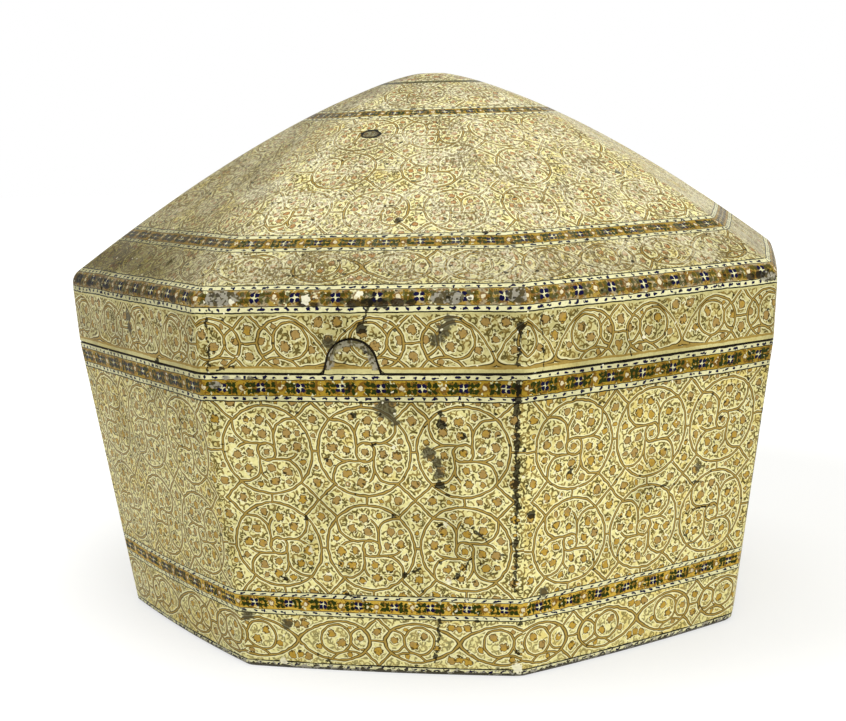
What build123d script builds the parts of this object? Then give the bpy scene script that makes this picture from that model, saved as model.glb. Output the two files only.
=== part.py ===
from build123d import *
from math import cos, hypot, pi, sin
import os

# An eight-sided papier mache box with a lift-off lid. The body wall is a shell of pasted
# paper that leans outwards from the foot, with a floor board let into it. The lid is an
# upright skirt under a moulded roof, eight-sided at the eave and round at the crown. A
# collar glued inside the mouth centres the lid. A round tongue on the front of the body
# rim fits a notch in the lid's skirt, so the lid goes on only one way round.
# Sizes are millimetres. The origin is the centre of the foot, +Z is up, and the front
# face, with the tongue, faces -Y. A radius is measured to the sharp corner of the octagon.

SIDES = 8

# Outline of the closed box
foot_radius = 131.9
eave_radius = 150.5
body_height = 110.6
skirt_height = 20.9
roof_rim_height = 5.7
roof_rise = 77.1

# How much narrower the body's rim is than the eave, with the lid's skirt between them
skirt_flare = 1.4

# Bow of each face between its corners
foot_bow = 1.9
rim_bow = 0.7
eave_bow = 0.4

# Softened edges
corner_round = 6.0
foot_chamfer = 1.2
shoulder_round = 6.0
collar_chamfer = 0.8

# Roof profile, as a power curve with a blunt tip, and how its ridges soften with height
roof_power = 1.43
tip_blunting = 0.055
ridge_softening = 24.0
fullest_rounding = 0.85
roof_stations = [1.0, 0.9, 0.78, 0.64, 0.5, 0.37, 0.25, 0.15, 0.08, 0.04]

# Thicknesses
wall_thickness = 5.0
roof_thickness = 5.0
floor_thickness = 5.0
collar_thickness = 2.5
lining_thickness = 0.6

# Collar: how deep it is glued into the body, and how far it stands into the lid. It backs
# the whole tongue.
collar_depth = 16.0
collar_stand = 14.0

# Tongue of the front rim. Its rounded feet run out a little below the rim, so that they
# meet it at an angle.
tongue_width = 20.4
tongue_waist = 17.6
tongue_waist_height = 4.6
tongue_height = 12.2
tongue_foot_round = 3.0
tongue_foot_drop = 0.3
tongue_offset = -2.7

# Clearances
seam_gap = 0.35
collar_clearance = 0.5

# The rim follows the eave, so that body, collar, skirt and roof keep fitting each other
rim_radius = eave_radius - skirt_flare

# Levels
seam_z = body_height
skirt_bottom = seam_z + seam_gap
skirt_top = skirt_bottom + skirt_height
eave_z = skirt_top + roof_rim_height
collar_bottom = seam_z - collar_depth
collar_top = seam_z + collar_stand

# The skirt is thinner than the body wall, which leaves the collar its clearance
skirt_thickness = wall_thickness - collar_clearance

# From a corner's radius to a face's distance from the middle
HALF_TURN = pi / SIDES
TO_FACE = cos(HALF_TURN)

# How far from a level an edge may lie and still count as on it
EDGE_BAND = 0.05


def corner(radius, index):
    """One corner of the octagon, counted anticlockwise from the left end of the front face."""
    angle = -pi / 2 + (2 * index - 1) * HALF_TURN
    return radius * cos(angle), radius * sin(angle)


def octagon(radius, bow, rounding):
    """A level octagon with bowed sides and rounded corners."""
    with BuildSketch(mode=Mode.PRIVATE) as outline:
        with BuildLine():
            for side in range(SIDES):
                SagittaArc(corner(radius, side), corner(radius, side + 1), -bow)
        make_face()
        fillet(outline.vertices(), radius=rounding)
    return outline.sketch


def octagonal_solid(stations, ruled=True):
    """A solid through level octagons, each given by its height, radius, bow and rounding."""
    with BuildPart(mode=Mode.PRIVATE) as solid:
        for height, radius, bow, rounding in stations:
            with BuildSketch(Plane.XY.offset(height)):
                add(octagon(radius, bow, rounding))
        loft(ruled=ruled)
    return solid.part


def wall_section(height, depth):
    """The level octagon of the body at one height, moved inwards by a depth."""
    share = height / body_height
    radius = foot_radius + (rim_radius - foot_radius) * share - depth / TO_FACE
    bow = foot_bow + (rim_bow - foot_bow) * share
    return height, radius, bow, corner_round


def skirt_section(height, depth):
    """The level octagon of the lid's skirt at one height, moved inwards by a depth."""
    share = (height - seam_z) / (skirt_top - seam_z)
    radius = rim_radius + (eave_radius - rim_radius) * share - depth / TO_FACE
    bow = rim_bow + (eave_bow - rim_bow) * share
    return height, radius, bow, corner_round


def slab(bottom, top):
    """Everything between two levels."""
    width = 3 * eave_radius
    with BuildPart(mode=Mode.PRIVATE) as layer:
        with BuildSketch(Plane.XY.offset(bottom)):
            Rectangle(width, width)
        extrude(amount=top - bottom)
    return layer.part


def roof_profile(share):
    """Height above the eave and slope of the roof, at a share of the eave's radius."""
    blunt = tip_blunting**2
    tip = blunt ** (roof_power / 2)
    span = (1 + blunt) ** (roof_power / 2) - tip
    fall = ((share**2 + blunt) ** (roof_power / 2) - tip) / span
    steepening = roof_power * share * (share**2 + blunt) ** (roof_power / 2 - 1) / span
    return roof_rise * (1 - fall), roof_rise * steepening / (eave_radius * TO_FACE)


def roof_station(share, depth):
    """The level octagon of the roof at one share, moved inwards square to the roof's faces."""
    rise, slope = roof_profile(share)
    face_distance = eave_radius * TO_FACE * share - depth * slope / hypot(slope, 1)
    height = eave_z + rise - depth / hypot(slope, 1)
    softened = corner_round + ridge_softening * (1 - share)
    rounding = min(softened, fullest_rounding * face_distance)
    return height, face_distance / TO_FACE, eave_bow * share, rounding


def roofed_solid(depth, rim_radius_here):
    """The space under the roof at a depth below its surface, on an upright octagonal rim."""
    stations = [roof_station(share, depth) for share in roof_stations]
    eave_height, radius, bow, rounding = stations[0]
    slope = roof_profile(1.0)[1]
    rim_top = eave_height + (radius - rim_radius_here) * TO_FACE * slope
    stations[0] = (rim_top, rim_radius_here, bow, rounding)
    rim = octagonal_solid([(skirt_top, rim_radius_here, bow, rounding), stations[0]])
    dome = octagonal_solid(stations, ruled=False)
    with BuildPart(mode=Mode.PRIVATE) as solid:
        add(rim)
        add(dome)
        eave = solid.edges().filter_by_position(Axis.Z, rim_top - EDGE_BAND, rim_top + EDGE_BAND)
        if shoulder_round > depth:
            fillet(eave, radius=shoulder_round - depth)
    return solid.part


def seam_outline():
    """The tongue on the front rim and a strip of the wall below it, seen from the front."""
    waist = tongue_waist / 2
    half_width = tongue_width / 2
    strip = 2 * tongue_foot_round
    left_waist = (-waist, tongue_waist_height)
    right_waist = (waist, tongue_waist_height)
    with BuildSketch(mode=Mode.PRIVATE) as outline:
        with BuildLine():
            ThreePointArc(left_waist, (0, tongue_height), right_waist)
            Polyline(
                right_waist,
                (half_width, -tongue_foot_drop),
                (half_width + strip, -tongue_foot_drop),
                (half_width + strip, -strip),
                (-half_width - strip, -strip),
                (-half_width - strip, -tongue_foot_drop),
                (-half_width, -tongue_foot_drop),
                left_waist,
            )
        make_face()
        low, high = -tongue_foot_drop - EDGE_BAND, -tongue_foot_drop + EDGE_BAND
        near_rim = outline.vertices().filter_by_position(Axis.Y, low, high)
        reach = half_width + EDGE_BAND
        feet = near_rim.filter_by_position(Axis.X, -reach, reach)
        fillet(feet, radius=tongue_foot_round)
    return outline.sketch


def tongue_prism(clearance):
    """The tongue's outline, grown by a clearance and run through the front of the box."""
    reach = eave_radius
    middle = Plane((tongue_offset, -reach / 2, seam_z), x_dir=(1, 0, 0), z_dir=(0, -1, 0))
    with BuildPart(mode=Mode.PRIVATE) as prism:
        with BuildSketch(middle):
            add(seam_outline())
            if clearance:
                offset(amount=clearance)
        extrude(amount=reach)
    return prism.part


def collar_section(height, depth):
    """The level octagon of the collar, which lies on the wall and stands upright above it."""
    radius, bow, rounding = wall_section(min(height, seam_z), wall_thickness + depth)[1:]
    return height, radius, bow, rounding


def finish(piece, name):
    """Labels a finished piece and writes it."""
    piece.part.label = name
    export_step(piece.part, f"parts/{name}.step")


os.makedirs("parts", exist_ok=True)

# The spaces inside the surfaces that pieces share, so that glued faces meet exactly
body_outer = octagonal_solid([wall_section(0, 0), wall_section(seam_z, 0)])
body_inner = octagonal_solid(
    [wall_section(0, wall_thickness), wall_section(seam_z, wall_thickness)]
)
lined_wall = wall_thickness + lining_thickness
lined_body_inner = octagonal_solid([wall_section(0, lined_wall), wall_section(seam_z, lined_wall)])
mouth_column = octagonal_solid([collar_section(seam_z, 0), collar_section(skirt_top, 0)])
collar_bore = octagonal_solid(
    [collar_section(height, collar_thickness) for height in (collar_bottom, seam_z, collar_top)]
)
skirt_outer = octagonal_solid([skirt_section(seam_z, 0), skirt_section(skirt_top, 0)])
skirt_inner = octagonal_solid(
    [skirt_section(seam_z, skirt_thickness), skirt_section(skirt_top, skirt_thickness)]
)
eave_hollow_radius = skirt_section(skirt_top, skirt_thickness)[1]
lined_hollow_radius = skirt_section(skirt_top, skirt_thickness + lining_thickness)[1]
roof_outer = roofed_solid(0, eave_radius)
roof_inner = roofed_solid(roof_thickness, eave_hollow_radius)
lined_roof_inner = roofed_solid(roof_thickness + lining_thickness, lined_hollow_radius)
tongue = tongue_prism(0)
notch = tongue_prism(seam_gap)

# Body wall: a tapered shell, with the tongue standing on its front rim against the collar
with BuildPart() as body_wall:
    add(skirt_outer)
    add(tongue, mode=Mode.INTERSECT)
    add(mouth_column, mode=Mode.SUBTRACT)
    add(body_outer)
    foot_edges = body_wall.faces().sort_by(Axis.Z)[0].outer_wire().edges()
    chamfer(foot_edges, length=foot_chamfer)
    add(body_inner, mode=Mode.SUBTRACT)
finish(body_wall, "body_wall")

# Floor board, let in flush with the foot, and the paper pasted over it
with BuildPart() as floor_board:
    add(body_inner)
    add(slab(0, floor_thickness), mode=Mode.INTERSECT)
finish(floor_board, "floor_board")

with BuildPart() as floor_lining:
    add(body_inner)
    add(slab(floor_thickness, floor_thickness + lining_thickness), mode=Mode.INTERSECT)
finish(floor_lining, "floor_lining")

# Paper lining of the wall, from the floor's lining up to the collar
with BuildPart() as wall_lining:
    add(body_inner)
    add(slab(floor_thickness + lining_thickness, collar_bottom), mode=Mode.INTERSECT)
    add(lined_body_inner, mode=Mode.SUBTRACT)
finish(wall_lining, "wall_lining")

# Collar: pasteboard glued inside the mouth, its top edge eased for the lid
with BuildPart() as mouth_collar:
    add(body_inner)
    add(mouth_column)
    add(slab(collar_bottom, collar_top), mode=Mode.INTERSECT)
    top_edges = mouth_collar.faces().sort_by(Axis.Z)[-1].outer_wire().edges()
    chamfer(top_edges, length=collar_chamfer)
    add(collar_bore, mode=Mode.SUBTRACT)
finish(mouth_collar, "mouth_collar")

# Skirt of the lid, sawn off the body along the seam and round the tongue
with BuildPart() as lid_skirt:
    add(skirt_outer)
    add(skirt_inner, mode=Mode.SUBTRACT)
    add(slab(seam_z - seam_gap, skirt_bottom), mode=Mode.SUBTRACT)
    add(notch, mode=Mode.SUBTRACT)
finish(lid_skirt, "lid_skirt")

# Roof of the lid, with an upright rim that stands on the skirt
with BuildPart() as lid_roof:
    add(roof_outer)
    add(roof_inner, mode=Mode.SUBTRACT)
finish(lid_roof, "lid_roof")

# Paper lining of the roof
with BuildPart() as roof_lining:
    add(roof_inner)
    add(lined_roof_inner, mode=Mode.SUBTRACT)
finish(roof_lining, "roof_lining")
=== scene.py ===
from math import asin, ceil, cos, dist, hypot, pi, radians, sin, tan

import bpy
from mathutils import Euler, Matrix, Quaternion, Vector


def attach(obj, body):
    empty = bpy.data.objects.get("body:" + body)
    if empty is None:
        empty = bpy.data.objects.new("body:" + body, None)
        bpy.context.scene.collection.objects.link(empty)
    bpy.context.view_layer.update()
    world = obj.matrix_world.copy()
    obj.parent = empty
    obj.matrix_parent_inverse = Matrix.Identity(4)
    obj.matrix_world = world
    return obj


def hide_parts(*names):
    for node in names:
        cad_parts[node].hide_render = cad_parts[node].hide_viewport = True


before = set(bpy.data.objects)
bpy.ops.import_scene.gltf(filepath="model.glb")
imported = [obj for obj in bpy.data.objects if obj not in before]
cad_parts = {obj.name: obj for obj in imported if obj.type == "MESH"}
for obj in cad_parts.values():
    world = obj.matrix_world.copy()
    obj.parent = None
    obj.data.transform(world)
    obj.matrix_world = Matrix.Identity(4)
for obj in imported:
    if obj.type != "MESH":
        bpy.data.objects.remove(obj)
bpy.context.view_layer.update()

# Lengths in this script are millimetres and become metres where Blender takes them
MM = 0.001

# The box's sizes, the same as the CAD model's. A radius is measured to the octagon's corner.
SIDES = 8
FOOT_RADIUS, RIM_RADIUS, EAVE_RADIUS = 131.9, 149.1, 150.5
FOOT_BOW, RIM_BOW, EAVE_BOW = 1.9, 0.7, 0.4
CORNER_ROUND, SHOULDER_ROUND = 6.0, 6.0
WALL, SKIRT_WALL, ROOF_SHELL = 5.0, 4.5, 5.0
SEAM_GAP = 0.35
SEAM_Z = 110.6
SKIRT_TOP = SEAM_Z + SEAM_GAP + 20.9
EAVE_Z = SKIRT_TOP + 5.7
ROOF_RISE = 77.1
ROOF_POWER = 1.43
TIP_BLUNTING = 0.055
RIDGE_SOFTENING = 24.0
FULLEST_ROUNDING = 0.85
CROWN_SHARE = 0.04

# The tongue on the front rim
TONGUE_WIDTH = 20.4
TONGUE_WAIST = 17.6
TONGUE_WAIST_HEIGHT = 4.6
TONGUE_HEIGHT = 12.2
TONGUE_FOOT_ROUND = 3.0
TONGUE_OFFSET = -2.7
TONGUE_LEAN = (TONGUE_WIDTH - TONGUE_WAIST) / 2 / TONGUE_WAIST_HEIGHT
ARCH_RISE = TONGUE_HEIGHT - TONGUE_WAIST_HEIGHT
ARCH_RADIUS = ((TONGUE_WAIST / 2) ** 2 + ARCH_RISE**2) / (2 * ARCH_RISE)
ARCH_CENTRE = TONGUE_HEIGHT - ARCH_RADIUS

HALF_TURN = pi / SIDES
TO_FACE = cos(HALF_TURN)


def lerp(low, high, share):
    """A value between two others."""
    return low + (high - low) * share


def spread(low, high, count):
    """Values from low to high, in a number of even steps."""
    return [lerp(low, high, number / count) for number in range(count + 1)]


def edged(low, high, step):
    """Values from low to high, about one step apart."""
    return spread(low, high, max(1, ceil((high - low) / step)))


def wall_section(height):
    """Radius, bow and corner rounding of the box's outer face at a height, up to the roof's rim."""
    if height <= SEAM_Z:
        share = height / SEAM_Z
        return lerp(FOOT_RADIUS, RIM_RADIUS, share), lerp(FOOT_BOW, RIM_BOW, share), CORNER_ROUND
    share = min((height - SEAM_Z) / (SKIRT_TOP - SEAM_Z), 1.0)
    return lerp(RIM_RADIUS, EAVE_RADIUS, share), lerp(RIM_BOW, EAVE_BOW, share), CORNER_ROUND


def inset(section, depth):
    """A section moved inwards by a depth, measured square to its faces."""
    radius, bow, rounding = section
    return radius - depth / TO_FACE, bow, rounding


def wall_at(height, depth=0.0):
    """A height and the outer wall's section there, moved inwards by a depth."""
    return height, inset(wall_section(height), depth)


def mouth_at(height):
    """A height and the section inside the mouth, which goes on upright above the seam."""
    return height, inset(wall_section(min(height, SEAM_Z)), WALL)


def roof_profile(share):
    """Height above the eave and slope of the roof, at a share of the eave's radius."""
    blunt = TIP_BLUNTING**2
    tip = blunt ** (ROOF_POWER / 2)
    span = (1 + blunt) ** (ROOF_POWER / 2) - tip
    fall = ((share**2 + blunt) ** (ROOF_POWER / 2) - tip) / span
    steepening = ROOF_POWER * share * (share**2 + blunt) ** (ROOF_POWER / 2 - 1) / span
    return ROOF_RISE * (1 - fall), ROOF_RISE * steepening / (EAVE_RADIUS * TO_FACE)


def roof_station(share, depth):
    """Height and section of the roof at one share, moved inwards square to the roof's faces."""
    rise, slope = roof_profile(share)
    face = EAVE_RADIUS * TO_FACE * share - depth * slope / hypot(slope, 1)
    height = EAVE_Z + rise - depth / hypot(slope, 1)
    softened = CORNER_ROUND + RIDGE_SOFTENING * (1 - share)
    return height, (face / TO_FACE, EAVE_BOW * share, min(softened, FULLEST_ROUNDING * face))


# The paint is laid out along the height of the walls and then by the distance travelled up
# the roof, here called the run.
EAVE_SLOPE = roof_profile(1.0)[1]
SHOULDER_TURN = pi / 2 - asin(EAVE_SLOPE / hypot(EAVE_SLOPE, 1))
SHOULDER_REACH = SHOULDER_ROUND * tan(SHOULDER_TURN / 2)
SHOULDER_START = EAVE_Z - SHOULDER_REACH
ROOF_START_SHARE = 1 - SHOULDER_REACH / hypot(EAVE_SLOPE, 1) / (EAVE_RADIUS * TO_FACE)
ROOF_START_RUN = SHOULDER_START + SHOULDER_ROUND * SHOULDER_TURN
RUN_STEPS = 200


def roof_run(share):
    """The run at one share of the roof."""
    shares = spread(ROOF_START_SHARE, share, RUN_STEPS)
    points = [(EAVE_RADIUS * TO_FACE * at, roof_profile(at)[0]) for at in shares]
    return ROOF_START_RUN + sum(map(dist, points, points[1:]))


# Where the rings of points start to follow the tongue's outline, the small worn edges, and how
# far apart the rings are
RIM_ZONE = 98.0
NOTCH_ZONE = 124.6
RIM_EDGE = 0.35
FOOT_EDGE = 1.2
ZONE_RINGS = 8
SHOULDER_RINGS = 8
BODY_STEP, SKIRT_STEP, EAVE_STEP = 4, 3, 2
ROOF_STEP, UNDERSIDE_STEP = 0.02, 0.06
CROWN_RUN = roof_run(CROWN_SHARE) + CROWN_SHARE * EAVE_RADIUS * TO_FACE
SHARP_FROM = 32.0

# Along a side, columns of points run from -1 to 1. The outermost part of each side lies on
# the rounded corner.
STRAIGHT_PART = 0.8
SIDE_STEPS = 12
CORNER_STEPS = 4
TONGUE_FOOT_STEPS = 6
TONGUE_ARCH_STEPS = 14
RIM_STRAIGHT = RIM_RADIUS * sin(HALF_TURN) - CORNER_ROUND * tan(HALF_TURN)
COLUMN_GAP = 0.02
POLE_WIDTH = 0.01


def side_columns():
    """Where the columns of points stand along one side."""
    corner = spread(STRAIGHT_PART, 1, CORNER_STEPS)[1:]
    straight = spread(-STRAIGHT_PART, STRAIGHT_PART, SIDE_STEPS)
    return [-c for c in reversed(corner)] + straight + corner


def outline_point(section, side, column):
    """A point of a level octagon, with its share across the side and the side's half length."""
    radius, bow, rounding = section
    reach, face = radius * sin(HALF_TURN), radius * TO_FACE
    straight = reach - rounding * tan(HALF_TURN)
    half = straight + rounding * HALF_TURN
    along = abs(column)
    if along <= STRAIGHT_PART:
        travelled = straight * along / STRAIGHT_PART
        x, y = travelled, face + bow * (1 - (travelled / reach) ** 2)
    else:
        turned = HALF_TURN * (along - STRAIGHT_PART) / (1 - STRAIGHT_PART)
        travelled = straight + rounding * turned
        x = straight + rounding * sin(turned)
        y = face - rounding * (1 - cos(turned)) + bow * (1 - (straight / reach) ** 2)
    if column < 0:
        x, travelled = -x, -travelled
    angle = 2 * HALF_TURN * side
    turned_x, turned_y = x * cos(angle) + y * sin(angle), x * sin(angle) - y * cos(angle)
    return turned_x, turned_y, travelled / half, half


def tongue_outline(clearance):
    """The outline of the tongue from left to right, as places along the rim and heights."""
    waist_angle = asin((TONGUE_WAIST_HEIGHT - ARCH_CENTRE) / ARCH_RADIUS)
    lean_angle = asin(TONGUE_LEAN / hypot(TONGUE_LEAN, 1))
    foot_centre = TONGUE_WIDTH / 2 + TONGUE_FOOT_ROUND * tan((pi / 2 - lean_angle) / 2)
    foot_radius, arch_radius = TONGUE_FOOT_ROUND - clearance, ARCH_RADIUS + clearance
    right = [
        (foot_centre + foot_radius * cos(angle), TONGUE_FOOT_ROUND + foot_radius * sin(angle))
        for angle in spread(-pi / 2, -pi + lean_angle, TONGUE_FOOT_STEPS)
    ]
    right += [
        (arch_radius * cos(angle), ARCH_CENTRE + arch_radius * sin(angle))
        for angle in spread(waist_angle, pi / 2, TONGUE_ARCH_STEPS)
    ]
    outline = [(-x, height) for x, height in right[:-1]] + right[::-1]
    return [(x + TONGUE_OFFSET, height) for x, height in outline]


class Shell:
    """A closed skin of rings, each a level outline whose points keep to the same columns."""

    def __init__(self, front_places=()):
        """front_places are extra columns on the front side, as distances from its middle."""
        self.columns = [side_columns() for side in range(SIDES)]
        if front_places:
            extra = [STRAIGHT_PART * place / RIM_STRAIGHT for place in front_places]
            low, high = min(extra) - COLUMN_GAP, max(extra) + COLUMN_GAP
            kept = [c for c in self.columns[0] if c < low or c > high]
            self.columns[0] = sorted(kept + extra)
        self.around = sum(len(columns) - 1 for columns in self.columns)
        self.rings, self.vertices, self.faces = [], [], []
        self.skins, self.panels, self.sides = [], [], []

    def ring(self, place, run=None, skin=0):
        """Adds a ring. place is its height and section, or a function that gives them for a side
        and a column, or only a height for a point on the axis, which ends the skin. run is the
        paint's run, if not the height, and skin numbers the material that leads to the ring."""
        self.rings.append((place, run, skin))

    def points(self, place, run):
        """Adds a ring's vertices. Returns the number of the first, and where each point lies on
        its painted panel, or only the run for a point on the axis."""
        start = len(self.vertices)
        if isinstance(place, float):
            self.vertices.append((0.0, 0.0, place * MM))
            return start, run
        panels = []
        for side, columns in enumerate(self.columns):
            for number, column in enumerate(columns):
                height, section = place(side, column) if callable(place) else place
                x, y, across, half = outline_point(section, side, column)
                if number < len(columns) - 1:
                    self.vertices.append((x * MM, y * MM, height * MM))
                panels.append((across, height if run is None else run, half))
        return start, panels

    def join(self, below, above, skin):
        """Adds the faces from one ring to the next, unless both are points on the axis."""
        if isinstance(below[1], float) and isinstance(above[1], float):
            return
        point = 0
        for side, columns in enumerate(self.columns):
            for number in range(len(columns) - 1):
                face = []
                for (start, panels), other, ends in (below, above, (0, 1)), (above, below, (1, 0)):
                    if isinstance(panels, float):
                        face.append(start)
                        self.panels.append((0.0, panels, POLE_WIDTH * other[1][point][2]))
                        continue
                    for end in ends:
                        face.append(start + (point - side + end) % self.around)
                        self.panels.append(panels[point + end])
                self.faces.append(face)
                self.sides += [float(side)] * len(face)
                self.skins.append(skin)
                point += 1
            point += 1

    def mesh(self, name, skins):
        """The finished piece. skins are its materials, which the rings name by number."""
        rows = [self.points(place, run) for place, run, skin in self.rings]
        for number, row in enumerate(rows):
            self.join(rows[number - 1], row, self.rings[number][2])
        mesh = bpy.data.meshes.new(name)
        mesh.from_pydata(self.vertices, [], self.faces)
        for skin in skins:
            mesh.materials.append(skin)
        mesh.polygons.foreach_set("material_index", self.skins)
        panel = mesh.attributes.new("panel", "FLOAT_VECTOR", "CORNER")
        panel.data.foreach_set("vector", [value for corner in self.panels for value in corner])
        mesh.attributes.new("side", "FLOAT", "CORNER").data.foreach_set("value", self.sides)
        mesh.shade_smooth()
        mesh.set_sharp_from_angle(angle=radians(SHARP_FROM))
        piece = bpy.data.objects.new(name, mesh)
        bpy.context.scene.collection.objects.link(piece)
        return piece


def tongue_columns(clearance):
    """The tongue's places along the rim, and a function for its height there at any column."""
    outline = tongue_outline(clearance)

    def rise(side, column):
        place = column * RIM_STRAIGHT / STRAIGHT_PART
        for (left, low), (right, high) in zip(outline, outline[1:]):
            if side == 0 and left < place <= right:
                return lerp(low, high, (place - left) / (right - left))
        return 0.0

    return [place for place, height in outline], rise


def build_body_wall(paint, rim, inside):
    """The body's wall with the tongue on its front rim."""
    places, rise = tongue_columns(0)
    shell = Shell(front_places=places)

    def towards_rim(share, section_at, drop=0.0):
        def at(side, column):
            return section_at(lerp(RIM_ZONE, SEAM_Z + rise(side, column) - drop, share))

        return at

    shell.ring(wall_at(0, WALL), skin=2)
    shell.ring(wall_at(0, FOOT_EDGE), skin=1)
    for height in edged(FOOT_EDGE, RIM_ZONE, BODY_STEP):
        shell.ring(wall_at(height))
    for share in spread(0, 1, ZONE_RINGS)[1:]:
        shell.ring(towards_rim(share, wall_at, RIM_EDGE))
    shell.ring(towards_rim(1, lambda height: wall_at(height, RIM_EDGE)))
    shell.ring(towards_rim(1, mouth_at), skin=1)
    shell.ring(towards_rim(0, mouth_at), skin=2)
    return shell.mesh("body_wall_painted", [paint, rim, inside])


def build_skirt(paint, rim, inside):
    """The lid's skirt, with its notch round the tongue."""
    places, rise = tongue_columns(SEAM_GAP)
    shell = Shell(front_places=places)

    def over_seam(share, depth=0.0, lift=0.0):
        def at(side, column):
            low = SEAM_Z + max(rise(side, column), SEAM_GAP) + lift
            return wall_at(lerp(low, NOTCH_ZONE, share), depth)

        return at

    shell.ring(wall_at(SKIRT_TOP, SKIRT_WALL), skin=2)
    shell.ring(over_seam(1, SKIRT_WALL), skin=2)
    shell.ring(over_seam(0, SKIRT_WALL), skin=2)
    shell.ring(over_seam(0, RIM_EDGE), skin=1)
    shell.ring(over_seam(0, lift=RIM_EDGE))
    for share in spread(0, 1, ZONE_RINGS)[1:]:
        shell.ring(over_seam(share))
    for height in edged(NOTCH_ZONE, SKIRT_TOP, SKIRT_STEP)[1:]:
        shell.ring(wall_at(height))
    return shell.mesh("lid_skirt_painted", [paint, rim, inside])


def build_roof(paint, inside):
    """The roof from its rim to the crown, and its underside."""
    shell = Shell()
    shell.ring(wall_at(SKIRT_TOP, SKIRT_WALL), skin=1)
    shell.ring(wall_at(SKIRT_TOP), skin=1)
    for height in edged(SKIRT_TOP, SHOULDER_START, EAVE_STEP)[1:]:
        shell.ring(wall_at(height))
    for angle in spread(0, SHOULDER_TURN, SHOULDER_RINGS)[1:]:
        height = SHOULDER_START + SHOULDER_ROUND * sin(angle)
        section = inset(wall_section(SKIRT_TOP), SHOULDER_ROUND * (1 - cos(angle)))
        shell.ring((height, section), SHOULDER_START + SHOULDER_ROUND * angle)
    for share in edged(CROWN_SHARE, ROOF_START_SHARE, ROOF_STEP)[-2::-1]:
        shell.ring(roof_station(share, 0), roof_run(share))
    top = roof_station(CROWN_SHARE, 0)[0]
    shell.ring(top, CROWN_RUN)
    shell.ring(top - ROOF_SHELL, 0.0, skin=1)
    for share in edged(CROWN_SHARE, 1.0, UNDERSIDE_STEP):
        height, section = roof_station(share, ROOF_SHELL)
        if height > SKIRT_TOP and section[0] > 0:
            shell.ring((height, section), skin=1)
    return shell.mesh("lid_roof_painted", [paint, inside])


class Tree:
    """The nodes of one material, with short ways of adding them."""

    def __init__(self, material):
        material.use_nodes = True
        self.nodes = material.node_tree.nodes
        self.links = material.node_tree.links

    def fill(self, node, inputs):
        """Joins or sets a node's inputs, by name or number."""
        for place, value in inputs.items():
            socket = getattr(value, "socket", value)
            if isinstance(socket, bpy.types.NodeSocket):
                self.links.new(socket, node.inputs[place])
            else:
                node.inputs[place].default_value = socket
        return node

    def add(self, kind, inputs=(), **settings):
        """Adds a node, with its settings and its inputs."""
        node = self.nodes.new(kind)
        for name, value in settings.items():
            setattr(node, name, value)
        return self.fill(node, dict(inputs))

    def number(self, operation, *values):
        """Arithmetic on numbers."""
        inputs = dict(enumerate(values))
        return Number(self, self.add("ShaderNodeMath", inputs, operation=operation).outputs[0])

    def vector(self, operation, *values, **named):
        """The outputs of arithmetic on vectors."""
        inputs = {**dict(enumerate(values)), **named}
        return self.add("ShaderNodeVectorMath", inputs, operation=operation).outputs

    def point(self, x, y, z=0.0):
        """A vector made from numbers."""
        return self.add("ShaderNodeCombineXYZ", {0: x, 1: y, 2: z}).outputs[0]

    def parts(self, vector):
        """The three numbers of a vector."""
        split = self.add("ShaderNodeSeparateXYZ", {0: vector})
        return [Number(self, output) for output in split.outputs]

    def distance(self, vector, place):
        """How far one vector is from another."""
        return Number(self, self.vector("DISTANCE", vector, place)["Value"])

    def noise(self, vector, size, detail=0.0):
        """Smooth noise from 0 to 1 with features of about one size, as a number and a colour."""
        inputs = {"Vector": vector, "Scale": 1 / size, "Detail": detail}
        number, colour = self.add("ShaderNodeTexNoise", inputs).outputs
        return Number(self, number), colour

    def noises(self, vector, size, detail=0.0):
        """Three smooth noises around 0."""
        return [part - 0.5 for part in self.parts(self.noise(vector, size, detail)[1])]

    def scatter(self, vector, size):
        """Scattered places: the offset to the nearest one, and three random numbers of it."""
        inputs = {"Vector": vector, "Scale": 1 / size}
        node = self.add("ShaderNodeTexVoronoi", inputs, voronoi_dimensions="2D", feature="F1")
        offset = self.vector("SUBTRACT", vector, node.outputs["Position"])[0]
        return self.parts(offset), self.parts(node.outputs["Color"])

    def mix(self, share, below, above, how="MIX"):
        """One colour over another."""
        if is_plain(share, 0):
            return below
        inputs = {0: share, 6: opaque(below), 7: opaque(above)}
        settings = {"data_type": "RGBA", "blend_type": how, "clamp_factor": True}
        return self.add("ShaderNodeMix", inputs, **settings).outputs[2]

    def coats(self, colour, *coats):
        """Lays coats of paint over a colour. Each is a paint, a value, where the value starts and
        ends the paint's rise to full cover, and anything that weakens it."""
        for paint, value, start, end, *weakened in coats:
            cover = ramp(value, start, end)
            for share in weakened:
                cover = cover * share
            colour = self.mix(cover, colour, paint)
        return colour

    def either(self, share, first, second):
        """The first number where share is 0, the second where it is 1."""
        if is_plain(share, 0):
            return first
        inputs = {0: share, 2: first, 3: second}
        return Number(self, self.add("ShaderNodeMix", inputs, data_type="FLOAT").outputs[0])


def opaque(colour):
    """A colour as a node takes it."""
    return (*colour, 1.0) if isinstance(colour, tuple) else colour


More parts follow.
